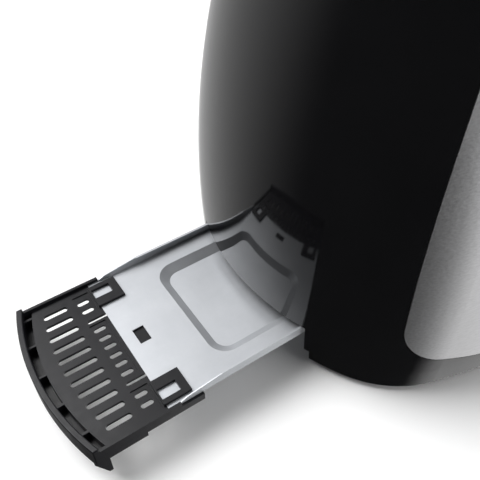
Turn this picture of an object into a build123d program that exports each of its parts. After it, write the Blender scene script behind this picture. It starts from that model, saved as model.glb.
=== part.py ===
from build123d import *
import math
import os

# Pop-up toaster for two slices, with its crumb tray pulled part of the way out.
# Millimetres, +Z up. -X is the crumb tray's end and +X the lever's end.
# "near" is the -Y side and "far" the +Y side.
# Every shape is built about the body's middle. ORIGIN_MOVE then shifts them all along X, so that
# the origin is on the table under the middle of the whole toaster, from tray front to lever knob.

# Body. Its walls are bowed upright too: the plan is largest at WIDEST_Z and shrinks above and below.
BODY_LENGTH = 302.0
BODY_WIDTH = 200.0
BODY_HEIGHT = 200.0
END_RADIUS = 120.0
SIDE_RADIUS = 350.0
CORNER_RADIUS = 54.0
BOW_RADIUS = 450.0
WIDEST_Z = 40.0
TOP_EDGE = 11.0
SECTOR_CORES = {END_RADIUS: 20.0, SIDE_RADIUS: 200.0, CORNER_RADIUS: 0.0}
WALL = 3.0
RIM_Z = 4.0
SEAM_Z = 182.0

# Panels let into the body's wall
PANEL_DEPTH = 1.2
PANEL_GAP = 0.25
PANEL_BOTTOM = 17.8
PANEL_TOP = 176.0
PANEL_HEEL_RADIUS = 60.0
PANEL_TOE_RADIUS = 24.0
PANEL_HEAD_RADIUS = 10.0
FASCIA_HALF = 34.0
FASCIA_BOTTOM = 20.5
FASCIA_TOP = 172.0
FASCIA_CORNER = 12.0

# Bread slots and the toasting chamber under them
SLOT_LENGTH = 140.0
SLOT_WIDTH = 34.0
SLOT_Y = 30.0
TRIM_WALL = 1.2
TRIM_RIM = 3.0
CHAMBER_X = 78.0
SHEET = 1.0
PLATE_Y = 64.0
PLATE_TOP = 178.0
GUIDE_Y = 16.5
WIRE = 1.0
HINGE_Z = 44.0
GUIDE_TOP = 170.0
CARD_BOTTOM = 42.0
CARD_TOP = 172.0
CARD_SHEET = 0.6
CARD_Y = (54.0, -6.0)

# Carriage: it is up at rest, and travels 78 mm down and 8 mm up
LEVER_DOWN = 78.0
LEVER_UP = 8.0
LEVER_Z = 150.0
RACK_Z = 126.0
ROD_X = 104.0
ROD_Y = 22.0
ROD_RADIUS = 2.5
RUNNING_FIT = 0.06

# Base
BASE_BOTTOM = 6.0
BASE_TOP = 8.0
FOOT_X = 98.0
FOOT_Y = 60.0
FOOT_RADIUS = 9.0
STUD_RADIUS = 3.0
BOSS_REACH = 46.5
BOSS_RADIUS = 5.0
BOSS_TOP = 34.0
VENT_PITCH = 22.0
VENT_Y = 55.0
VENT_HALF = 11.0
CHASSIS_SCREW_X = 85.0
CHASSIS_SCREW_Y = 50.0
COVER_SCREW_X = 66.0
COVER_SCREW_Y = 54.0
SCREW_RADIUS = 1.5
SCREW_LENGTH = 6.0
SCREW_GAP = 0.06
HEAD_RADIUS = 2.8
HEAD_HEIGHT = 2.0

# Crumb tray, as it lies when pulled out
TRAY_HALF = 39.7
FRONT_X = -250.4
FRONT_RADIUS = 114.0
FRONT_TOP = 24.5
FRONT_BOTTOM = 13.8
FRONT_WALL = 2.6
FRONT_EDGE = 0.5
TROUGH_WIDTH = 3.4
GRILLE_TOP = 20.7
GRILLE_PITCH = 6.3
GRILLE_SLOT = 2.7
GRILLE_SHEET = 1.4
LONG_SLOT_END = -223.3
SHORT_SLOTS = (2.7, 7.8, 13.1, 25.4, 30.6)
OPEN_SLITS = (-18.6, 18.6)
TROUGH_RIBS = (-28.5, -12.2, 4.3, 20.5, 35.0)
SHORT_SLOT_START = -218.8
SHORT_SLOT_END = -213.2
PLASTIC_EDGE = -210.1
PAN_HALF = 38.4
PAN_FRONT = PLASTIC_EDGE
PAN_END = -30.0
PAN_TOP = 25.0
PAN_SHEET = 0.5
DISH_START = -180.8
DISH_END = -48.0
DISH_HALF = 29.0
DISH_DEPTH = 3.0

# Mouth of the crumb tray
MOUTH_HALF = 40.1
MOUTH_STEP_HALF = 42.6
MOUTH_STEP_Z = 9.7
MOUTH_TOP = 25.6
TUNNEL_HALF = 46.5
TUNNEL_TOP = 28.0

# Controls on the lever's end
DIAL_Z = 44.0
DIAL_RADIUS = 17.0
DIAL_X = 151.6
SHAFT_RADIUS = 3.0
BUTTON_Y = -23.0
LENS_Y = -12.0
BUTTON_RADIUS = 5.5
BUTTON_HEIGHTS = {"cancel": 84.0, "bagel": 102.0, "defrost": 120.0}
BUTTON_STEM_END = 128.9
BOARD_X = 122.0
BOARD_SHEET = 1.6
SWITCH_HEIGHT = 3.0
GLAND_Z = 13.5
GLAND_RADIUS = 5.0
GLAND_BORE = 3.4

KNOB_START = 151.2
KNOB_END = 173.0
ORIGIN_MOVE = -(FRONT_X + KNOB_END) / 2

parts = {}


# ---------------------------------------------------------------- small helpers


def block(low, high):
    """A box between its lowest and highest corners."""
    size = [b - a for a, b in zip(low, high)]
    middle = [(a + b) / 2 for a, b in zip(low, high)]
    return Pos(*middle) * Box(*size)


def rod_z(radius, x, y, bottom, top):
    """An upright cylinder."""
    return Pos(x, y, (bottom + top) / 2) * Cylinder(radius, top - bottom)


def rod_x(radius, start, end, y, z):
    """A cylinder along X."""
    return Pos((start + end) / 2, y, z) * Rot(0, 90, 0) * Cylinder(radius, end - start)


def far_side(shape):
    """The same piece on the +Y side."""
    return mirror(shape, about=Plane.XZ)


def other_end(shape):
    """The same piece at the -X end."""
    return mirror(shape, about=Plane.YZ)


def both_sides(shape):
    """The shape and its mirror image across the XZ plane, as one."""
    return shape + far_side(shape)


def screw(x, y, seat, up):
    """A pan-head screw with a slotted head, its shank running up or down from its seat."""
    way = 1 if up else -1
    shank = rod_z(SCREW_RADIUS, x, y, *sorted((seat, seat + way * SCREW_LENGTH)))
    head = rod_z(HEAD_RADIUS, x, y, *sorted((seat, seat - way * HEAD_HEIGHT)))
    slot = Pos(x, y, seat - way * HEAD_HEIGHT) * Box(4, 0.8, 1.6)
    return shank + head - slot


# ---------------------------------------------------------------- body form


def lean(height):
    """How far the wall stands in from its widest outline at a height."""
    return BOW_RADIUS - math.sqrt(BOW_RADIUS**2 - (height - WIDEST_Z) ** 2)


def corner_centre():
    """Centre of the corner arc, which touches the end arc and the side arc from inside."""
    end_x = BODY_LENGTH / 2 - END_RADIUS
    side_y = SIDE_RADIUS - BODY_WIDTH / 2
    to_end = END_RADIUS - CORNER_RADIUS
    to_side = SIDE_RADIUS - CORNER_RADIUS
    apart = math.hypot(end_x, side_y)
    along = (to_end**2 - to_side**2 + apart**2) / (2 * apart)
    across = math.sqrt(to_end**2 - along**2)
    x = end_x - along * end_x / apart + across * side_y / apart
    y = -along * side_y / apart - across * end_x / apart
    return x, y


def body_stretches():
    """The plan's eight tangent arcs, each as centre x, centre y, radius, first angle and sweep."""
    end_x = BODY_LENGTH / 2 - END_RADIUS
    side_y = SIDE_RADIUS - BODY_WIDTH / 2
    x, y = corner_centre()
    end_half = math.degrees(math.atan2(y, x - end_x))
    side_half = math.degrees(math.atan2(x, y + side_y))
    corner = 90 - end_half - side_half
    return [
        (end_x, 0, END_RADIUS, -end_half, 2 * end_half),
        (x, y, CORNER_RADIUS, end_half, corner),
        (0, -side_y, SIDE_RADIUS, 90 - side_half, 2 * side_half),
        (-x, y, CORNER_RADIUS, 90 + side_half, corner),
        (-end_x, 0, END_RADIUS, 180 - end_half, 2 * end_half),
        (-x, -y, CORNER_RADIUS, 180 + end_half, corner),
        (0, side_y, SIDE_RADIUS, 270 - side_half, 2 * side_half),
        (x, -y, CORNER_RADIUS, 270 + side_half, corner),
    ]


def body_outline(inset):
    """The body's widest plan, moved in by inset."""
    arcs = []
    for x, y, radius, start, sweep in body_stretches():
        arcs.append(CenterArc((x, y), radius - inset, start, sweep))
    return make_face(Curve() + arcs)


def wall_profile(radius, inside, core):
    """Half of an upright section: the bowed wall, the rounded top edge and the flat top."""
    bottom = RIM_Z - min(inside, 1)
    top = BODY_HEIGHT - inside
    middle = (bottom + top) / 2
    reach = [radius - inside - lean(height) for height in (bottom, middle, top)]
    wall = ThreePointArc((reach[0], bottom), (reach[1], middle), (reach[2], top))
    rest = Polyline((reach[2], top), (core, top), (core, bottom), (reach[0], bottom))
    face = make_face(Curve() + [wall, rest])
    corner = face.vertices().sort_by(Axis.Y)[-2:].sort_by(Axis.X)[-1]
    return fillet(corner, TOP_EDGE - inside)


def body_form(inside):
    """The toaster's whole form, moved in by `inside`: each arc's profile turned about its centre."""
    sectors = []
    for x, y, radius, start, sweep in body_stretches():
        core = SECTOR_CORES[radius]
        sector = revolve(Plane.XZ * wall_profile(radius, inside, core), Axis.Z, sweep)
        sectors.append(Pos(x, y, 0) * Rot(0, 0, start) * sector)
    return Part() + sectors


def end_wall_x(y, z):
    """X of the lever end's outer surface at a place near its middle."""
    radius = END_RADIUS - lean(z)
    return BODY_LENGTH / 2 - END_RADIUS + math.sqrt(radius**2 - y**2)


def layer(bottom, top):
    """Everything between two heights."""
    return block((-200, -200, bottom), (200, 200, top))


def side_panel_zone(grow):
    """The near steel panel's outline in X and Z, bowed at its ends, cut through the near wall."""
    heel = (86.0 + grow, PANEL_BOTTOM - grow)
    toe = (122.4 + grow, 29.5 - grow)
    waist = (122.3 + grow, 82.6)
    head = (103.8 + grow, PANEL_TOP + grow)
    foot = Polyline((-toe[0], toe[1]), (-heel[0], heel[1]), heel, toe)
    right = ThreePointArc(toe, waist, head)
    left = mirror(right, about=Plane.YZ)
    top = Line((-head[0], head[1]), head)
    face = make_face(Curve() + [foot, right, top, left])
    face = fillet(face.vertices().sort_by(Axis.Y)[-2:], PANEL_HEAD_RADIUS + grow)
    toes = [corner for corner in face.vertices() if abs(corner.Y - toe[1]) < 0.01]
    face = fillet(toes, PANEL_TOE_RADIUS + grow)
    heels = [corner for corner in face.vertices() if abs(corner.Y - heel[1]) < 0.01]
    face = fillet(heels, PANEL_HEEL_RADIUS + grow)
    return extrude(Plane.XZ * face, BODY_WIDTH)


def fascia_zone(grow):
    """The control fascia's outline in Y and Z, cut through the lever end's wall."""
    width = 2 * (FASCIA_HALF + grow)
    height = FASCIA_TOP - FASCIA_BOTTOM + 2 * grow
    middle = (FASCIA_TOP + FASCIA_BOTTOM) / 2
    face = RectangleRounded(width, height, FASCIA_CORNER + grow)
    return extrude(Plane.YZ.offset(100) * Pos(0, middle) * face, 100)


def end_wall_holes():
    """The lever's slot and the round holes through the lever end's wall."""
    start, end = 115, 160
    slot_bottom = LEVER_Z - LEVER_DOWN - 9
    slot_top = LEVER_Z + LEVER_UP + 8
    holes = block((start, -2.6, slot_bottom), (end, 2.6, slot_top))
    holes += rod_x(SHAFT_RADIUS + 2, start, end, 0, DIAL_Z)
    holes += rod_x(GLAND_RADIUS, start, end, 0, GLAND_Z)
    for height in BUTTON_HEIGHTS.values():
        holes += rod_x(BUTTON_RADIUS + PANEL_GAP, start, end, BUTTON_Y, height)
        holes += rod_x(1.5, start, end, LENS_Y, height)
    return holes


def mouth_cut():
    """The crumb tray's mouth in the -X end, wider below its step and open at the rim."""
    upper = block((-160, -MOUTH_HALF, 0), (-110, MOUTH_HALF, MOUTH_TOP))
    lower = block((-160, -MOUTH_STEP_HALF, 0), (-110, MOUTH_STEP_HALF, MOUTH_STEP_Z))
    return upper + lower


def boss_places():
    """Where the four corner bosses stand, just inside the corner arcs."""
    x, y = corner_centre()
    x += 0.8 * BOSS_REACH
    y += 0.6 * BOSS_REACH
    return [(i * x, j * y) for i in (-1, 1) for j in (-1, 1)]


def make_housing(skin, sheet):
    """The black moulding that makes the ends, the sides and the rim."""
    body = skin & layer(0, SEAM_Z)
    body -= sheet & both_sides(side_panel_zone(PANEL_GAP))
    body -= sheet & fascia_zone(PANEL_GAP)
    body -= sheet & layer(SEAM_Z - 0.6, SEAM_Z + 1)
    body -= end_wall_holes() + mouth_cut()
    for x, y in boss_places():
        body += rod_z(BOSS_RADIUS, x, y, BASE_TOP, BOSS_TOP) - rod_z(SCREW_RADIUS + SCREW_GAP, x, y, 0, 20)
    return body


def cover_screw_places():
    """The four screws that hold the top cover down on the chassis."""
    return [(i * COVER_SCREW_X, j * COVER_SCREW_Y) for i in (-1, 1) for j in (-1, 1)]


def slot_frame(grow, bottom, top):
    """A block over each bread slot, grown outwards all round."""
    half_x = SLOT_LENGTH / 2 + grow
    half_y = SLOT_WIDTH / 2 + grow
    return block((-half_x, -SLOT_Y - half_y, bottom), (half_x, -SLOT_Y + half_y, top))


def make_top_cover(skin):
    """The top cover, with its lip inside the housing, two slot holes and four bosses."""
    cover = skin & layer(SEAM_Z, BODY_HEIGHT + 1)
    lip = body_form(WALL + 0.2) - body_form(WALL + 1.6)
    seat = body_form(WALL / 2) - body_form(WALL + 1.6)
    cover += (lip & layer(SEAM_Z - 3, SEAM_Z)) + (seat & layer(SEAM_Z, SEAM_Z + 2))
    cover -= both_sides(slot_frame(TRIM_WALL + 0.2, SEAM_Z, BODY_HEIGHT + 1))
    for x, y in cover_screw_places():
        boss = rod_z(4.5, x, y, PLATE_TOP + SHEET, BODY_HEIGHT - WALL)
        cover += boss - rod_z(SCREW_RADIUS + SCREW_GAP, x, y, PLATE_TOP, PLATE_TOP + 8)
    return cover


def make_slot_trim():
    """The steel throat and rim of the near bread slot."""
    rim_top = BODY_HEIGHT + 0.8
    rim = slot_frame(TRIM_RIM, BODY_HEIGHT, rim_top)
    rim = fillet(rim.edges().filter_by(Axis.Z), 4)
    rim = fillet(rim.faces().sort_by(Axis.Z)[-1].edges(), 0.6)
    throat = slot_frame(TRIM_WALL, PLATE_TOP + SHEET + 0.5, BODY_HEIGHT)
    return rim + throat - slot_frame(0, PLATE_TOP, rim_top + 1)


# ---------------------------------------------------------------- base


def make_base_plate():
    """The bottom plate, with the tray's notch, cooling slots and holes for feet and screws."""
    outline = body_outline(lean(BASE_BOTTOM) + WALL + 0.5)
    plate = extrude(Pos(0, 0, BASE_BOTTOM) * outline, BASE_TOP - BASE_BOTTOM)
    plate -= block((-160, -TUNNEL_HALF + 0.5, 0), (-131, TUNNEL_HALF - 0.5, 20))
    for side in (-1, 1):
        y = side * VENT_Y
        for column in range(-3, 4):
            x = column * VENT_PITCH
            plate -= block((x - 2, y - VENT_HALF, 0), (x + 2, y + VENT_HALF, 20))
    for x, y in foot_places():
        plate -= rod_z(STUD_RADIUS + SCREW_GAP, x, y, 0, 20)
    for x, y in boss_places() + chassis_screw_places():
        plate -= rod_z(SCREW_RADIUS + SCREW_GAP, x, y, 0, 20)
    return plate


def foot_places():
    """The four feet, under the corners."""
    return [(i * FOOT_X, j * FOOT_Y) for i in (-1, 1) for j in (-1, 1)]


def make_foot(x, y):
    """A rubber foot with a stud that plugs into the base plate."""
    foot = rod_z(FOOT_RADIUS, x, y, 0, BASE_BOTTOM)
    foot = chamfer(foot.edges().filter_by(GeomType.CIRCLE), 0.8)
    return foot + rod_z(STUD_RADIUS, x, y, BASE_BOTTOM, BASE_TOP + 1.5)


def make_tray_rail():
    """The near rail: a foot flange, a web, the ledge the tray slides on and the lip over it."""
    web_in, web_out = MOUTH_HALF + 0.2, MOUTH_HALF + 1.4
    start, end = -118.0, 74.0
    rail = block((start, -web_out, BASE_TOP), (end, -web_in, 27.0))
    rail += block((start, -web_out - 4, BASE_TOP), (end, -web_in, BASE_TOP + SHEET))
    rail += block((-88, -web_out, 18.8), (end, -35.0, 19.9))
    rail += block((start, -web_out, 25.9), (end, -37.0, 27.0))
    return rail


# ---------------------------------------------------------------- chassis


def chassis_screw_places():
    """The four screws through the chassis plates' feet."""
    return [(i * CHASSIS_SCREW_X, j * CHASSIS_SCREW_Y) for i in (-1, 1) for j in (-1, 1)]


def make_chassis_plate():
    """The lever-end chassis plate, with its feet, the racks' slots and the guides' pivot holes."""
    inner, outer = CHAMBER_X, CHAMBER_X + SHEET
    plate = block((inner, -PLATE_Y, BASE_TOP), (outer, PLATE_Y, PLATE_TOP))
    plate -= block((inner - 1, -TUNNEL_HALF, 0), (outer + 1, TUNNEL_HALF, TUNNEL_TOP))
    for side in (-1, 1):
        plate += block((inner, side * 55 - 8, BASE_TOP), (inner + 13, side * 55 + 8, BASE_TOP + 1.2))
        low = RACK_Z - 8 - LEVER_DOWN - 3
        high = RACK_Z + LEVER_UP + 5
        y = side * SLOT_Y
        plate -= block((inner - 1, y - 1.6, low), (outer + 1, y + 1.6, high))
        for offset in (-GUIDE_Y, GUIDE_Y):
            plate -= rod_x(WIRE + RUNNING_FIT, inner - 1, outer + 1, y + offset, HINGE_Z)
    for x, y in chassis_screw_places():
        plate -= rod_z(SCREW_RADIUS + SCREW_GAP, x, y, 0, 12)
    return plate


def make_top_plate():
    """The chassis's top plate, with the slots for the bread and a tongue over the guide rods."""
    plate = block((-CHAMBER_X - 1, -PLATE_Y, PLATE_TOP), (CHAMBER_X + 1, PLATE_Y, PLATE_TOP + SHEET))
    plate += block((CHAMBER_X, -30, PLATE_TOP), (ROD_X + 7, 30, PLATE_TOP + SHEET))
    plate -= both_sides(slot_frame(0, PLATE_TOP - 1, PLATE_TOP + 2))
    for x, y in cover_screw_places():
        plate -= rod_z(SCREW_RADIUS + SCREW_GAP, x, y, PLATE_TOP - 1, PLATE_TOP + 2)
    return plate


def make_reflector():
    """The near side reflector, an upright sheet between the chassis plates."""
    return block((-CHAMBER_X, -62.6, 38.0), (CHAMBER_X, -62.0, 177.0))


def make_crumb_chute():
    """The sloping sheet that leads crumbs from the near wall to the tray."""
    outline = Polyline((-43, 28.8), (-62, 37), (-62, 38), (-43, 29.8), close=True)
    return extrude(Plane.YZ.offset(-CHAMBER_X) * make_face(outline), 2 * CHAMBER_X)


def make_heater_card(y):
    """A mica card between the chassis plates."""
    return block((-CHAMBER_X, y, CARD_BOTTOM), (CHAMBER_X, y + CARD_SHEET, CARD_TOP))


def make_heater_ribbon(face, towards):
    """The flat heating ribbon, wound back and forth on a card's face that looks at the bread."""
    reach, pitch, width, thick, runs = 70.0, 12.0, 1.6, 0.3, 10
    back, front = sorted((face, face + towards * thick))
    strips = []
    for run in range(runs):
        z = CARD_BOTTOM + 11 + run * pitch
        strips.append(block((-reach, back, z), (reach, front, z + width)))
        if run < runs - 1:
            end = reach if run % 2 == 0 else width - reach
            strips.append(block((end - width, back, z), (end, front, z + pitch + width)))
    return Part() + strips


def make_bread_guide(y):
    """A wire grille that swings on its bottom wire to centre the bread."""
    guide = rod_x(WIRE, -CHAMBER_X - 2.5, CHAMBER_X + 2.5, y, HINGE_Z)
    guide += rod_x(WIRE, -72, 72, y, GUIDE_TOP)
    for column in range(-4, 5):
        guide += rod_z(0.8 * WIRE, column * 17.5, y, HINGE_Z, GUIDE_TOP)
    return guide


# ---------------------------------------------------------------- carriage


def make_bread_rack():
    """The near bread rack: a slotted strip on an upright blade that passes through both plates."""
    y = -SLOT_Y
    strip = block((-72, y - 6, RACK_Z), (72, y + 6, RACK_Z + 1))
    for column in range(-4, 5):
        for side in (-1, 1):
            middle = y + side * 3.2
            x = column * 15.5
            strip -= block((x - 5, middle - 1.6, RACK_Z - 1), (x + 5, middle + 1.6, RACK_Z + 2))
    blade = block((-82, y - 0.75, RACK_Z - 8), (90, y + 0.75, RACK_Z))
    return strip + blade


def make_carriage_bracket():
    """The pressing that runs on the guide rods and joins the racks, the lever and the keeper."""
    plate_x, low, high = 90.0, RACK_Z - 4, RACK_Z + 14
    bracket = block((plate_x, -44, low), (plate_x + 1.5, 46, high))
    bracket += block((plate_x, -3, low), (112, 3, LEVER_Z + 5))
    bracket += block((plate_x, 34, 131), (115, 46, 132.5))
    bracket += block((plate_x, -15, 138), (101, -9, high))
    for y in (-ROD_Y, ROD_Y):
        bracket += block((plate_x, y - 1, low), (ROD_X, y + 1, high))
        bracket += rod_z(5, ROD_X, y, low, high)
        bracket -= rod_z(ROD_RADIUS + RUNNING_FIT, ROD_X, y, low - 1, high + 1)
    return bracket


def make_lever_stem():
    """The flat steel blade from the bracket out through the slot into the knob."""
    return block((112, -1.5, LEVER_Z - 5), (KNOB_START + 8, 1.5, LEVER_Z + 5))


def make_lever_knob():
    """The rounded knob that the user presses down."""
    knob = block((KNOB_START, -17, LEVER_Z - 7), (KNOB_END, 17, LEVER_Z + 7))
    knob = fillet(knob.edges().filter_by(Axis.Z), 7)
    knob = fillet(knob.faces().sort_by(Axis.Z)[-1].edges(), 3)
    knob = fillet(knob.faces().sort_by(Axis.Z)[0].edges(), 3)
    pocket = block((KNOB_START - 1, -1.55, LEVER_Z - 5.05), (KNOB_START + 8.2, 1.55, LEVER_Z + 5.05))
    return knob - pocket


def make_lift_spring():
    """The coil spring that pulls the carriage up, from the bracket's lug to the top plate."""
    x, y, bottom, top = 96.0, -12.0, RACK_Z + 14.6, PLATE_TOP - 0.5
    wire, radius, turns = 0.45, 3.2, 12
    path = Helix((top - bottom) / turns, top - bottom, radius)
    profile = Plane(origin=path @ 0, z_dir=path % 0) * Circle(wire)
    return Pos(x, y, bottom) * sweep(profile, path=path, is_frenet=True)


def make_magnet_core():
    """The U-shaped core of the magnet that holds the carriage down."""
    low, back, front = BASE_TOP, 98.0, 114.0
    core = block((back, 34, low), (front, 46, 50))
    core -= block((back + 4, 33, 30), (front - 4, 47, 51))
    return core - block((back + 3, 33, low + 3), (front - 3, 47, 24))


def make_magnet_coil():
    """The winding round the core's inner leg."""
    coil = block((95.5, 31.5, 31), (104.5, 48.5, 46))
    coil = fillet(coil.edges().filter_by(Axis.Z), 2)
    return coil - block((97.9, 33.9, 30), (102.1, 46.1, 47))


def make_keeper():
    """The iron keeper under the bracket's arm, which meets the magnet at the bottom."""
    bottom = 50.3 + LEVER_DOWN
    return block((97, 35, bottom), (115, 45, 131))


# ---------------------------------------------------------------- controls


def make_board():
    """The upright control board, cut away under the lever's path."""
    front = BOARD_X + BOARD_SHEET
    board = block((BOARD_X, -46, 24), (front, -8, 136))
    return board + block((BOARD_X, -9, 24), (front, 18, 60))


def make_board_holder():
    """The grooved foot that holds the board's lower edge."""
    holder = block((118, -44, BASE_TOP), (127.6, -10, 30))
    return holder - block((BOARD_X - 0.1, -50, 24), (BOARD_X + BOARD_SHEET + 0.1, 0, 31))


def make_switches():
    """The three push switches on the board, behind the buttons."""
    face = BOARD_X + BOARD_SHEET
    switches = []
    for z in BUTTON_HEIGHTS.values():
        body = block((face, BUTTON_Y - 3, z - 3), (face + 2.4, BUTTON_Y + 3, z + 3))
        switches.append(body + rod_x(1.6, face + 2.4, face + SWITCH_HEIGHT, BUTTON_Y, z))
    return Compound(switches)


def make_button(z):
    """A push button: a round cap, the flange that keeps it in, and a stem to its switch."""
    cap_end = end_wall_x(BUTTON_Y, z) + 2.8
    flange_end = end_wall_x(BUTTON_Y - 7.5, z + 7.5) - WALL - 0.8
    cap = rod_x(BUTTON_RADIUS, flange_end, cap_end, BUTTON_Y, z)
    cap = fillet(cap.edges().filter_by(GeomType.CIRCLE).sort_by(Axis.X)[-1], 0.9)
    flange = rod_x(7.5, flange_end - 1.5, flange_end, BUTTON_Y, z)
    return cap + flange + rod_x(2, BUTTON_STEM_END, flange_end, BUTTON_Y, z)


def make_lenses():
    """The three indicator lenses beside the buttons."""
    lenses = []
    for z in BUTTON_HEIGHTS.values():
        wall = end_wall_x(LENS_Y, z)
        lenses.append(rod_x(1.45, wall - 5, wall + 0.3, LENS_Y, z))
    return Compound(lenses)


def make_potentiometer():
    """The browning control's body, with the collar that its shaft turns in."""
    face = BOARD_X + BOARD_SHEET
    body = rod_x(8.5, face, 131, 0, DIAL_Z) + rod_x(4.5, 131, 136, 0, DIAL_Z)
    return body - rod_x(SHAFT_RADIUS + RUNNING_FIT, 125.5, 137, 0, DIAL_Z)


def make_dial_shaft():
    """The shaft from the control into the dial."""
    return rod_x(SHAFT_RADIUS, 125.8, DIAL_X + 7.8, 0, DIAL_Z)


def make_dial():
    """The browning dial, with a tapered rim and a grip bar across its face."""
    dial = rod_x(DIAL_RADIUS, DIAL_X, DIAL_X + 5, 0, DIAL_Z)
    dial = fillet(dial.edges().filter_by(GeomType.CIRCLE).sort_by(Axis.X)[-1], 1.2)
    hub = rod_x(13.5, DIAL_X + 5, DIAL_X + 9, 0, DIAL_Z)
    hub = fillet(hub.edges().filter_by(GeomType.CIRCLE).sort_by(Axis.X)[-1], 1)
    bar = block((DIAL_X + 9, -2.5, DIAL_Z - 12), (DIAL_X + 15, 2.5, DIAL_Z + 12))
    bar = fillet(bar.edges().filter_by(Axis.X), 2)
    dial = dial + hub + bar
    return dial - rod_x(SHAFT_RADIUS + RUNNING_FIT, DIAL_X - 1, DIAL_X + 8, 0, DIAL_Z)


def make_main_switch():
    """The block of mains contacts beside the carriage's lowest place."""
    body = block((96, -46, BASE_TOP), (112, -34, 30))
    for x in (99.0, 108.0):
        body += block((x - 0.4, -43, 30), (x + 0.4, -37, 38))
    return body


def make_terminal_block():
    """The screw terminals where the power cord would be joined."""
    body = block((100, -9, BASE_TOP), (117, 9, 18))
    for y in (-5.0, 0.0, 5.0):
        body -= rod_x(1.4, 99, 118, y, 13)
    return body


def make_cord_gland():
    """The bush that the power cord passes through, at the foot of the lever's end."""
    outside = BODY_LENGTH / 2 - 0.4
    gland = rod_x(GLAND_RADIUS - 0.05, 130, outside, 0, GLAND_Z)
    flange = rod_x(GLAND_RADIUS + 1.4, outside, outside + 2.5, 0, GLAND_Z)
    flange = fillet(flange.edges().filter_by(GeomType.CIRCLE).sort_by(Axis.X)[-1], 1)
    return gland + flange - rod_x(GLAND_BORE, 129, outside + 3, 0, GLAND_Z)


# ---------------------------------------------------------------- crumb tray


def front_arc_x(y, back=0.0):
    """X of the tray front's curved face at a place, or of a face `back` mm behind it."""
    radius = FRONT_RADIUS - back
    return FRONT_X + FRONT_RADIUS - math.sqrt(radius**2 - y**2)


def front_band(back, depth, half, bottom, top):
    """An upright band that follows the tray front's curve, between two distances behind it."""
    outline = [
        ThreePointArc(
            (front_arc_x(half, back), -half),
            (front_arc_x(0, back), 0),
            (front_arc_x(half, back), half),
        ),
        Line((front_arc_x(half, back), half), (front_arc_x(half, back + depth), half)),
        ThreePointArc(
            (front_arc_x(half, back + depth), half),
            (front_arc_x(0, back + depth), 0),
            (front_arc_x(half, back + depth), -half),
        ),
        Line((front_arc_x(half, back + depth), -half), (front_arc_x(half, back), -half)),
    ]
    return extrude(Pos(0, 0, bottom) * make_face(Curve() + outline), top - bottom)


def slot_hole(start, end, y, width):
    """A slot with round ends, cut down through the grille."""
    length = end - start
    face = SlotOverall(length, width)
    return extrude(Pos((start + end) / 2, y, FRONT_BOTTOM - 1) * face, 12)


def make_tray_front():
    """The black moulding at the tray's front, with its trough, grille, cheeks, tabs and legs."""
    wall = front_band(0, FRONT_WALL, TRAY_HALF, FRONT_BOTTOM, FRONT_TOP)
    wall = fillet(wall.edges().filter_by(Axis.Z), FRONT_EDGE)
    wall = fillet(wall.faces().sort_by(Axis.Z)[-1].edges(), FRONT_EDGE)
    plate_start = FRONT_WALL + TROUGH_WIDTH
    plate_x = front_arc_x(0, plate_start)
    plate = block((plate_x, -PAN_HALF, GRILLE_TOP - GRILLE_SHEET), (PLASTIC_EDGE, PAN_HALF, GRILLE_TOP))
    plate -= front_band(-20, 20 + plate_start, 60, 0, 30)
    floor = front_band(1, plate_start, PAN_HALF, FRONT_BOTTOM + 0.8, FRONT_BOTTOM + 2)
    riser = front_band(plate_start, 1.4, PAN_HALF, FRONT_BOTTOM + 0.8, GRILLE_TOP)
    front = wall + floor + riser + plate
    for y in TROUGH_RIBS:
        x = front_arc_x(y, FRONT_WALL / 2)
        front += block((x, y - 0.5, FRONT_BOTTOM + 1), (x + TROUGH_WIDTH + 2, y + 0.5, GRILLE_TOP))
    front -= recessed_row() + grille_slots()
    front += both_sides(cheek())
    front += both_sides(tab())
    front += block((PLASTIC_EDGE - 2.4, -5.4, 17.6), (-196, 5.4, 19.6))
    return front


def recessed_row():
    """The sunk band that the short slots lie in, in three stretches."""
    sunk = GRILLE_TOP - 0.5
    row = block((SHORT_SLOT_START - 0.6, -16.4, sunk), (SHORT_SLOT_END + 1.4, 16.4, 30))
    side = block((SHORT_SLOT_START - 0.6, 22.4, sunk), (SHORT_SLOT_END + 1.4, 35, 30))
    return row + both_sides(side)


def grille_slots():
    """Eleven long slots, longest in the middle, then the short slots and the two open slits."""
    slots = []
    for step in range(-5, 6):
        length = 15.2 - 0.157 * step**2
        slots.append(slot_hole(LONG_SLOT_END - length, LONG_SLOT_END, step * GRILLE_PITCH, GRILLE_SLOT))
    for y in SHORT_SLOTS:
        slots.append(slot_hole(SHORT_SLOT_START, SHORT_SLOT_END, y, GRILLE_SLOT - 0.3))
        slots.append(slot_hole(SHORT_SLOT_START, SHORT_SLOT_END, -y, GRILLE_SLOT - 0.3))
    for y in OPEN_SLITS:
        slots.append(slot_hole(SHORT_SLOT_START - 0.4, PLASTIC_EDGE + 3, y, 1.8))
    return Part() + slots


def cheek():
    """The near side wall of the moulding, with the leg at its front end."""
    front = front_arc_x(TRAY_HALF, FRONT_WALL / 2)
    outer, inner = -TRAY_HALF, -PAN_HALF
    wall = block((front, outer, FRONT_BOTTOM), (-221, inner, 22.4))
    wall += block((-222, outer, 16.3), (-194.5, inner, 20.2))
    wall += block((-222, outer, 16.3), (-205, inner, 22.4))
    corners = Polyline(
        (-244, FRONT_BOTTOM + 1), (-237.8, FRONT_BOTTOM + 1), (-237.8, RIM_Z), (-239.4, RIM_Z), close=True
    )
    leg = extrude(Plane.XZ.offset(-inner - 0.8) * make_face(corners), 2.1)
    return wall + leg


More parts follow.
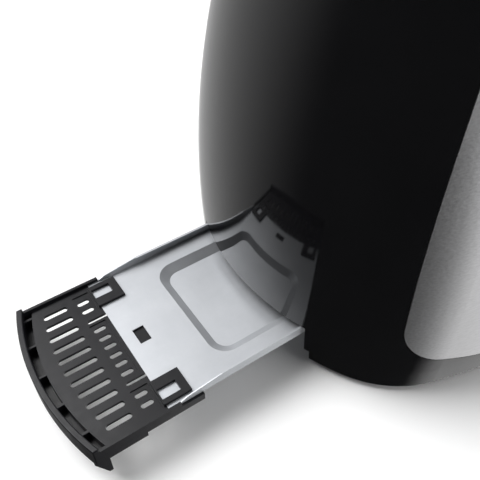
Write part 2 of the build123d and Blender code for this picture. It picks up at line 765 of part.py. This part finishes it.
def tab():
    """A rectangular frame that reaches back over the pan, near side."""
    frame = block((PLASTIC_EDGE - 1, -35.9, GRILLE_TOP), (-198.1, -23.6, GRILLE_TOP + 1.5))
    return frame - block((-210.4, -33.6, GRILLE_TOP - 1), (-201.9, -28.2, GRILLE_TOP + 2))


def dish_form():
    """The dish pressed into the pan: a rounded rectangle that narrows downwards."""
    length = DISH_END - DISH_START
    middle = (DISH_START + DISH_END) / 2
    mouth = Pos(middle, 0, GRILLE_TOP) * RectangleRounded(length, 2 * DISH_HALF, 9)
    slope = 1.4 * DISH_DEPTH
    floor = RectangleRounded(length - 2 * slope, 2 * (DISH_HALF - slope), 6)
    return loft([mouth, Pos(middle, 0, GRILLE_TOP - DISH_DEPTH) * floor])


def pan_wall():
    """The near folded wall of the pan, low at its front end, with a hem along its top."""
    bottom = GRILLE_TOP - PAN_SHEET
    outline = Polyline(
        (-205, bottom),
        (-205, 21.3),
        (-201.6, 22.8),
        (-185, PAN_TOP),
        (PAN_END, PAN_TOP),
        (PAN_END, bottom),
        close=True,
    )
    wall = extrude(Plane.XZ.offset(PAN_HALF - PAN_SHEET) * make_face(outline), PAN_SHEET)
    return wall + block((-185, -PAN_HALF, PAN_TOP - 1.2), (PAN_END, 0.5 - PAN_HALF + PAN_SHEET, PAN_TOP))


def make_tray_pan():
    """The sheet steel pan, with folded side and back walls, a dish and a square catch hole."""
    bottom = GRILLE_TOP - PAN_SHEET
    pan = block((PAN_FRONT, -PAN_HALF, bottom), (PAN_END, PAN_HALF, GRILLE_TOP))
    pan += block((PAN_END - PAN_SHEET, -PAN_HALF, bottom), (PAN_END, PAN_HALF, PAN_TOP))
    pan += both_sides(pan_wall())
    pan += Pos(0, 0, -PAN_SHEET) * dish_form()
    pan -= dish_form()
    return pan - block((-204.7, -4.2, 0), (-199.4, 4.2, 30))


# ---------------------------------------------------------------- the assembly


def build_body():
    """Housing, cover, panels, trims and base."""
    outer = body_form(0)
    skin = outer - body_form(WALL)
    sheet = outer - body_form(PANEL_DEPTH)
    parts["main_housing"] = make_housing(skin, sheet)
    parts["top_cover"] = make_top_cover(skin)
    side_panel = sheet & side_panel_zone(0)
    parts["side_panel_near"] = side_panel
    parts["side_panel_far"] = far_side(side_panel)
    parts["control_fascia"] = (sheet & fascia_zone(0)) - end_wall_holes()
    trim = make_slot_trim()
    parts["slot_trim_near"] = trim
    parts["slot_trim_far"] = far_side(trim)
    parts["base_plate"] = make_base_plate()
    for x, y in foot_places():
        end = "tray_end" if x < 0 else "lever_end"
        side = "near" if y < 0 else "far"
        parts[f"foot_{end}_{side}"] = make_foot(x, y)
    rail = make_tray_rail()
    parts["tray_rail_near"] = rail
    parts["tray_rail_far"] = far_side(rail)
    screws = [screw(x, y, BASE_BOTTOM, True) for x, y in boss_places()]
    screws += [screw(x, y, BASE_TOP + 1.2, False) for x, y in chassis_screw_places()]
    screws += [screw(x, y, PLATE_TOP, True) for x, y in cover_screw_places()]
    parts["screws"] = Compound(screws)


def build_chassis():
    """The toasting chamber's sheets, heaters and bread guides."""
    plate = make_chassis_plate()
    parts["chassis_plate_lever_end"] = plate
    parts["chassis_plate_tray_end"] = other_end(plate)
    parts["chassis_top_plate"] = make_top_plate()
    outer_y, inner_y = CARD_Y
    pieces = {
        "side_reflector": make_reflector(),
        "crumb_chute": make_crumb_chute(),
        "heater_card_outer": make_heater_card(-outer_y - CARD_SHEET),
        "heater_card_inner": make_heater_card(inner_y),
        "heater_ribbon_outer": make_heater_ribbon(-outer_y, 1),
        "heater_ribbon_inner": make_heater_ribbon(inner_y, -1),
        "bread_guide_outer": make_bread_guide(-SLOT_Y - GUIDE_Y),
        "bread_guide_inner": make_bread_guide(-SLOT_Y + GUIDE_Y),
        "bread_rack": make_bread_rack(),
    }
    for name, piece in pieces.items():
        parts[f"{name}_near"] = piece
        parts[f"{name}_far"] = far_side(piece)


def build_carriage():
    """The lever's carriage, its rods, spring and magnet."""
    parts["carriage_bracket"] = make_carriage_bracket()
    parts["lever_stem"] = make_lever_stem()
    parts["lever_knob"] = make_lever_knob()
    parts["keeper_plate"] = make_keeper()
    parts["guide_rod_near"] = rod_z(ROD_RADIUS, ROD_X, -ROD_Y, BASE_TOP, PLATE_TOP)
    parts["guide_rod_far"] = rod_z(ROD_RADIUS, ROD_X, ROD_Y, BASE_TOP, PLATE_TOP)
    parts["lift_spring"] = make_lift_spring()
    parts["magnet_core"] = make_magnet_core()
    parts["magnet_coil"] = make_magnet_coil()


def build_controls():
    """The board and everything the user turns, presses or looks at."""
    parts["control_board"] = make_board()
    parts["board_holder"] = make_board_holder()
    parts["button_switches"] = make_switches()
    for name, z in BUTTON_HEIGHTS.items():
        parts[f"button_{name}"] = make_button(z)
    parts["indicator_lenses"] = make_lenses()
    parts["potentiometer"] = make_potentiometer()
    parts["dial_shaft"] = make_dial_shaft()
    parts["browning_dial"] = make_dial()
    parts["main_switch"] = make_main_switch()
    parts["terminal_block"] = make_terminal_block()
    parts["cord_gland"] = make_cord_gland()


def build_crumb_tray():
    """The tray that slides out of the -X end."""
    parts["tray_front"] = make_tray_front()
    parts["tray_pan"] = make_tray_pan()


build_body()
build_chassis()
build_carriage()
build_controls()
build_crumb_tray()

os.makedirs("parts", exist_ok=True)
for name, piece in parts.items():
    export_step(Pos(ORIGIN_MOVE, 0, 0) * piece, f"parts/{name}.step")
print(len(parts), "nodes written")
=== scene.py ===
"""The pop-up toaster's looks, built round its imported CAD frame. Metres, +Z up, tray end at -X."""

import bpy
import math
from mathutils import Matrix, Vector


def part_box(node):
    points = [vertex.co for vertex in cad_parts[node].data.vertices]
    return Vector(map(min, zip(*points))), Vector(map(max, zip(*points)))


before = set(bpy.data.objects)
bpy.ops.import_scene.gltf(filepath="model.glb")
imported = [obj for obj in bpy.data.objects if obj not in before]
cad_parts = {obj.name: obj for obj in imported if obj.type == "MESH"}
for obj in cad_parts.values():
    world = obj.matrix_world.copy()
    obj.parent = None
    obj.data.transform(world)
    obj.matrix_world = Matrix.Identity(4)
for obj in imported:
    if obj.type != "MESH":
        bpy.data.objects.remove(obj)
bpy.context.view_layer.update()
BODY_LOW, BODY_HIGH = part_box("main_housing")
BODY_X = (BODY_LOW.x + BODY_HIGH.x) / 2

# Camera, from the body's middle on the floor
CAMERA_PLACE = Vector((-0.2560, -0.1563, 0.2488))
CAMERA_AZIMUTH = 34.1
CAMERA_DOWN = 46.5
CAMERA_LENS = 47.4

# The studio's soft light from the far side (Y) and from the lever's end (X):
# the axis, how far along it a direction must point for the light to begin and to be full, and its strength
FAR_LIGHT = ("Y", 0.15, 1.0, 0.85)
END_LIGHT = ("X", 0.0, 0.32, 1.0)
DARK_SIDE = 0.03

# Softboxes: place from the body's middle on the floor, size and power in watts
KEY_LIGHT = ((-0.9, 1.1, 1.9), (1.6, 1.6), 66.0)
SIDE_LIGHT = ((0.9, -1.6, 0.5), (0.9, 0.7), 14.0)
LIGHT_TARGET_HEIGHT = 0.1
FLOOR_HALF = 6.0


# ---------------------------------------------------------------- node helpers


class Nodes:
    """A material's node tree, with short calls to add nodes and join them."""

    def __init__(self, name):
        self.material = bpy.data.materials.new(name)
        self.material.use_nodes = True
        self.tree = self.material.node_tree
        self.shader = self.tree.nodes["Principled BSDF"]
        self.place = self.tree.nodes.new("ShaderNodeTexCoord").outputs["Object"]

    def add(self, kind, inputs=None, **settings):
        node = self.tree.nodes.new(kind)
        for key, value in settings.items():
            setattr(node, key, value)
        for key, value in (inputs or {}).items():
            self.put(node.inputs[key], value)
        return node

    def put(self, socket, value):
        if isinstance(value, bpy.types.NodeSocket):
            self.tree.links.new(value, socket)
        else:
            socket.default_value = value

    def set(self, **values):
        for key, value in values.items():
            self.put(self.shader.inputs[key.replace("_", " ")], value)

    def scaled(self, scale):
        """Object coordinates stretched by a scale for each axis."""
        return self.add("ShaderNodeMapping", {"Vector": self.place, "Scale": scale}).outputs["Vector"]

    def noise(self, scale, detail=2.0, roughness=0.5, where=None):
        values = {"Scale": scale, "Detail": detail, "Roughness": roughness, "Vector": where or self.place}
        return self.add("ShaderNodeTexNoise", values).outputs["Fac"]

    def span(self, value, low, high, start=0.3, end=0.7):
        """A value's start to end range turned into low to high."""
        values = {"Value": value, "From Min": start, "From Max": end, "To Min": low, "To Max": high}
        return self.add("ShaderNodeMapRange", values).outputs["Result"]

    def blend(self, factor, first, second):
        node = self.add("ShaderNodeMix", data_type="RGBA")
        self.put(node.inputs[0], factor)
        self.put(node.inputs[6], (*first, 1.0))
        self.put(node.inputs[7], (*second, 1.0))
        return node.outputs[2]

    def bump(self, height, distance, strength=1.0):
        values = {"Height": height, "Distance": distance, "Strength": strength}
        self.set(Normal=self.add("ShaderNodeBump", values).outputs["Normal"])


# ---------------------------------------------------------------- materials


def black_gloss():
    """Polished black moulding: a deep black with a faint haze and dust-fine waviness."""
    n = Nodes("black_gloss")
    haze = n.noise(38.0, 4.0, 0.6)
    n.set(Base_Color=n.blend(haze, (0.0035, 0.0035, 0.0040), (0.0060, 0.0060, 0.0066)))
    n.set(Roughness=n.span(n.noise(160.0, 3.0), 0.045, 0.085), IOR=1.46)
    n.bump(n.noise(22.0, 1.0), 0.00002, 0.25)
    return n.material


def satin_black(name, colour, rough, grain=2400.0, shine=0.5):
    """Moulded black plastic with a fine spark-eroded texture."""
    n = Nodes(name)
    lighter = tuple(1.5 * c for c in colour)
    n.set(Base_Color=n.blend(n.noise(120.0, 4.0, 0.6), colour, lighter))
    n.set(Roughness=n.span(n.noise(300.0, 3.0), rough - 0.05, rough + 0.07), IOR=1.48)
    n.set(Specular_IOR_Level=shine)
    n.bump(n.noise(grain, 2.0), 0.00003, 0.5)
    return n.material


def metal(name, colour, rough, along=(1.0, 1.0, 1.0), grain=900.0, depth=0.00001, spread=0.1):
    """Sheet metal whose grain is stretched by `along`, with patchy roughness."""
    n = Nodes(name)
    darker = tuple(0.82 * c for c in colour)
    streaks = n.noise(grain, 3.0, 0.6, n.scaled(along))
    n.set(Base_Color=n.blend(n.span(streaks, 0.0, 1.0), darker, colour), Metallic=1.0)
    n.set(Roughness=n.span(streaks, rough - spread / 2, rough + spread / 2))
    n.bump(streaks, depth, 0.6)
    return n.material


def tray_sheet():
    """Pale satin coated sheet: faint mottling, fine scratches along the tray."""
    n = Nodes("tray_sheet")
    mottle = n.noise(55.0, 5.0, 0.65)
    scratches = n.noise(900.0, 2.0, 0.5, n.scaled((0.15, 1.0, 1.0)))
    colour = n.blend(n.span(mottle, 0.0, 1.0), (0.43, 0.445, 0.47), (0.48, 0.495, 0.52))
    n.set(Base_Color=colour, Metallic=0.45)
    n.set(Roughness=n.span(scratches, 0.38, 0.46))
    n.bump(scratches, 0.000003, 0.3)
    return n.material


def mica():
    """Mica sheet: warm, mottled, slightly flaky."""
    n = Nodes("mica")
    flakes = n.add("ShaderNodeTexVoronoi", {"Scale": 260.0, "Vector": n.place}).outputs["Distance"]
    n.set(Base_Color=n.blend(n.span(flakes, 0.0, 1.0, 0.1, 0.7), (0.40, 0.34, 0.24), (0.62, 0.55, 0.42)))
    n.set(Roughness=n.span(n.noise(90.0), 0.35, 0.6))
    n.bump(flakes, 0.00005, 0.3)
    return n.material


def heater_alloy():
    """Oxidised heating ribbon, bluish brown where it has been hot."""
    n = Nodes("heater_alloy")
    n.set(Base_Color=n.blend(n.noise(60.0, 3.0), (0.22, 0.17, 0.14), (0.40, 0.37, 0.36)), Metallic=1.0)
    n.set(Roughness=n.span(n.noise(200.0), 0.4, 0.6))
    return n.material


def moulded(name, first, second, rough):
    """Plain moulded or painted stuff with soft colour variation and a fine grain."""
    n = Nodes(name)
    n.set(Base_Color=n.blend(n.noise(80.0, 4.0, 0.6), first, second))
    n.set(Roughness=n.span(n.noise(260.0, 2.0), rough - 0.06, rough + 0.08))
    n.bump(n.noise(1500.0, 2.0), 0.00004, 0.4)
    return n.material


def circuit_board():
    """Green solder mask over a faint pattern of tracks."""
    n = Nodes("circuit_board")
    values = {"Scale": 160.0, "Mortar Size": 0.06, "Vector": n.scaled((1.0, 1.0, 0.45))}
    tracks = n.add("ShaderNodeTexBrick", values).outputs["Fac"]
    n.set(Base_Color=n.blend(tracks, (0.03, 0.12, 0.05), (0.05, 0.20, 0.09)), Roughness=0.35)
    n.bump(tracks, 0.00005, 0.5)
    return n.material


def copper_winding():
    """Enamelled copper wire wound in tight level turns, with painted shade in the grooves and a painted
    highlight along each turn.
    """
    n = Nodes("copper_winding")
    wave = n.add("ShaderNodeTexWave", {"Scale": 420.0, "Vector": n.place}, bands_direction="Z")
    turn_relief_and_shade = wave.outputs["Fac"]
    # Colour darker in each groove and lighter on each crest: painted shade and painted highlight over the
    # turns; the same wave also gives the bump.
    colour = n.blend(turn_relief_and_shade, (0.30, 0.12, 0.05), (0.62, 0.30, 0.14))
    n.set(Base_Color=colour, Metallic=0.8, Roughness=0.35)
    n.bump(turn_relief_and_shade, 0.0001, 0.6)
    return n.material


def clear_lens():
    """Amber lens, clear with a slight internal swirl."""
    n = Nodes("clear_lens")
    n.set(Base_Color=n.blend(n.noise(400.0), (0.80, 0.42, 0.12), (0.95, 0.60, 0.22)), Roughness=0.12)
    n.set(Transmission_Weight=0.6, IOR=1.5)
    return n.material


MATERIALS = {
    "black_gloss": black_gloss(),
    "black_satin": satin_black("black_satin", (0.010, 0.010, 0.011), 0.34),
    "tray_plastic": satin_black("tray_plastic", (0.0055, 0.0055, 0.0070), 0.33, 1800.0, 0.25),
    "tray_sheet": tray_sheet(),
    "brushed_steel": metal(
        "brushed_steel", (0.82, 0.82, 0.83), 0.50, (0.02, 1.0, 1.0), 1400.0, 0.00001, 0.1
    ),
    "polished_steel": metal(
        "polished_steel", (0.66, 0.66, 0.67), 0.16, (0.2, 1.0, 1.0), 300.0, 0.000004, 0.06
    ),
    "zinc_steel": metal(
        "zinc_steel", (0.50, 0.51, 0.53), 0.42, (1.0, 1.0, 1.0), 90.0, 0.00001, 0.16
    ),
    "dark_sheet": moulded("dark_sheet", (0.020, 0.020, 0.021), (0.034, 0.034, 0.034), 0.55),
    "foot_rubber": moulded("foot_rubber", (0.016, 0.016, 0.016), (0.030, 0.030, 0.030), 0.72),
    "mica": mica(),
    "heater_alloy": heater_alloy(),
    "dark_iron": metal(
        "dark_iron", (0.18, 0.18, 0.19), 0.5, (1.0, 1.0, 8.0), 120.0, 0.00003, 0.2
    ),
    "copper_winding": copper_winding(),
    "circuit_board": circuit_board(),
    "white_plastic": moulded("white_plastic", (0.66, 0.65, 0.62), (0.74, 0.73, 0.70), 0.42),
    "clear_lens": clear_lens(),
}


def dress_cad_nodes():
    """Gives every carried-over CAD node the material of its slot in the record."""
    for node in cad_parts.values():
        for slot in node.material_slots:
            slot.material = MATERIALS[slot.material.name.split(".")[0]]


# ---------------------------------------------------------------- stage


def make_floor():
    """A wide pale floor, level with the feet."""
    mesh = bpy.data.meshes.new("floor")
    corners = [(i * FLOOR_HALF, j * FLOOR_HALF, 0) for i, j in ((-1, -1), (1, -1), (1, 1), (-1, 1))]
    mesh.from_pydata(corners, [], [(0, 1, 2, 3)])
    floor = bpy.data.objects.new("floor", mesh)
    bpy.context.scene.collection.objects.link(floor)
    n = Nodes("floor")
    n.set(Base_Color=n.blend(n.noise(1.5), (0.93, 0.93, 0.93), (0.96, 0.96, 0.96)), Roughness=0.8)
    n.set(Specular_IOR_Level=0.2)
    mesh.materials.append(n.material)
    floor.visible_glossy = False


def make_world():
    """Plain soft studio light, dark only towards the near side of the tray's end."""
    world = bpy.data.worlds.new("studio")
    bpy.context.scene.world = world
    world.use_nodes = True
    tree = world.node_tree
    way = tree.nodes.new("ShaderNodeSeparateXYZ")
    tree.links.new(tree.nodes.new("ShaderNodeTexCoord").outputs["Generated"], way.inputs["Vector"])
    brightest = tree.nodes.new("ShaderNodeMath")
    brightest.operation = "MAXIMUM"
    for socket, (axis, start, full, strength) in zip(brightest.inputs, (FAR_LIGHT, END_LIGHT)):
        light = tree.nodes.new("ShaderNodeMapRange")
        light.interpolation_type = "SMOOTHSTEP"
        light.inputs["From Min"].default_value = start
        light.inputs["From Max"].default_value = full
        light.inputs["To Min"].default_value = DARK_SIDE
        light.inputs["To Max"].default_value = strength
        tree.links.new(way.outputs[axis], light.inputs["Value"])
        tree.links.new(light.outputs["Result"], socket)
    tree.links.new(brightest.outputs["Value"], tree.nodes["Background"].inputs["Strength"])
    tree.nodes["Background"].inputs["Color"].default_value = (1.0, 1.0, 1.0, 1.0)


def softbox(name, offset, size, power):
    """A rectangular area light that looks at the middle of the body."""
    place = Vector(offset) + Vector((BODY_X, 0, 0))
    target = Vector((BODY_X, 0, LIGHT_TARGET_HEIGHT))
    light = bpy.data.lights.new(name, "AREA")
    light.shape = "RECTANGLE"
    light.size, light.size_y = size
    light.energy = power
    lamp = bpy.data.objects.new(name, light)
    bpy.context.scene.collection.objects.link(lamp)
    lamp.location = place
    lamp.rotation_euler = (target - place).to_track_quat("-Z", "Y").to_euler()


def make_camera():
    """The photograph's viewpoint: steeply down on the tray's end and the near corner."""
    data = bpy.data.cameras.new("camera")
    data.lens = CAMERA_LENS
    data.sensor_width = 36.0
    data.clip_start = 0.01
    camera = bpy.data.objects.new("camera", data)
    camera.location = CAMERA_PLACE + Vector((BODY_X, 0, 0))
    camera.rotation_euler = (math.radians(90 - CAMERA_DOWN), 0, math.radians(-CAMERA_AZIMUTH))
    bpy.context.scene.collection.objects.link(camera)
    bpy.context.scene.camera = camera


dress_cad_nodes()
make_floor()
make_world()
softbox("key", *KEY_LIGHT)
softbox("side", *SIDE_LIGHT)
make_camera()
bpy.context.scene.view_settings.view_transform = "Standard"
